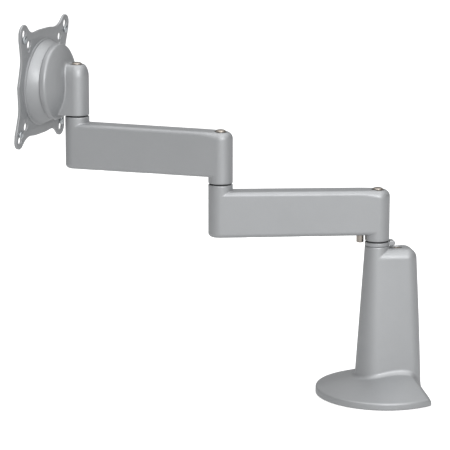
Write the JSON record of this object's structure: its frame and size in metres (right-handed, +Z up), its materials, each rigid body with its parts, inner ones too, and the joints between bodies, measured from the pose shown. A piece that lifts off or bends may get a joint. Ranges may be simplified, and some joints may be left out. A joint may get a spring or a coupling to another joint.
{
  "type": "desk monitor arm",
  "caption": "Desk-mount monitor arm with a tapered column on a D-shaped foot, swinging arms and a tilting, rotating keyhole screen plate.",
  "frame": {"origin": "underside of the foot's pad, on the axis of the column's pivot", "axes": "+Z up; -Y the front, the direction the arms reach when straight; +Y toward the foot's straight rear edge; +X to the right seen from the front of the foot's rear edge"},
  "size_m": [0.2517, 0.4162, 0.3865],
  "materials": {
    "silver_paint": "satin silver paint on die-cast aluminium",
    "nickel": "polished nickel",
    "zinc": "bright zinc plate",
    "steel": "turned steel",
    "spring_steel": "oiled spring steel",
    "brass": "dull brass",
    "nylon": "filled nylon",
    "acetal": "natural acetal",
    "black_plastic": "fine matt grain",
    "rubber": "matt sheet"
  },
  "bodies": {
    "base": {"base_column": "silver_paint", "sole_pad": "rubber", "column_top_screw": "brass", "stop_ring": "silver_paint", "base_pivot_shaft": "steel", "base_pivot_thrust_washer": "nylon", "base_pivot_disc_spring": "spring_steel", "base_pivot_cap": "nickel"},
    "lower_arm": {"lower_arm": "silver_paint", "lower_arm_cover": "black_plastic", "stop_screw": "nickel", "base_pivot_lower_bush": "acetal", "base_pivot_upper_bush": "acetal", "elbow_shaft": "steel", "elbow_thrust_washer": "nylon", "elbow_disc_spring": "spring_steel", "elbow_cap": "nickel"},
    "upper_arm": {"upper_arm": "silver_paint", "upper_arm_cover": "black_plastic", "elbow_lower_bush": "acetal", "elbow_upper_bush": "acetal", "head_pivot_shaft": "steel", "head_pivot_thrust_washer": "nylon", "head_pivot_disc_spring": "spring_steel", "head_pivot_cap": "nickel"},
    "head": {"head_casting": "silver_paint", "tilt_stud": "zinc", "tilt_washer": "acetal", "tilt_spring_washer": "spring_steel", "tilt_nut": "zinc", "head_pivot_lower_bush": "acetal", "head_pivot_upper_bush": "acetal"},
    "tilt": {"tilt_dome": "silver_paint", "roll_retainer": "steel", "retainer_screw_1": "zinc", "retainer_screw_2": "zinc", "retainer_screw_3": "zinc", "roll_washer": "nylon"},
    "plate": {"screen_plate": "silver_paint", "plate_screw_1": "zinc", "plate_screw_2": "zinc", "plate_screw_3": "zinc", "plate_screw_4": "zinc"}
  },
  "joints": [
    {"name": "base_pivot", "type": "hinge", "parent": "base", "child": "lower_arm", "pos_m": [0, 0, 0.1645], "axis": [0, 0, 1], "range_deg": [-142.2, 157.8]},
    {"name": "elbow", "type": "hinge", "parent": "lower_arm", "child": "upper_arm", "pos_m": [-0.02212, -0.16149, 0.2257], "axis": [0, 0, 1], "continuous": true},
    {"name": "head_pivot", "type": "hinge", "parent": "upper_arm", "child": "head", "pos_m": [-0.10705, -0.30062, 0.2869], "axis": [0, 0, 1], "range_deg": [-91, 89]},
    {"name": "screen_tilt", "type": "hinge", "parent": "head", "child": "tilt", "pos_m": [-0.13351, -0.34573, 0.3218], "axis": [0.8625, -0.506, 0], "range_deg": [-8.5, 15.5]},
    {"name": "screen_roll", "type": "hinge", "parent": "tilt", "child": "plate", "pos_m": [-0.12695, -0.33454, 0.32101], "axis": [-0.5051, -0.8609, 0.061], "range_deg": [-90, 90]}
  ]
}
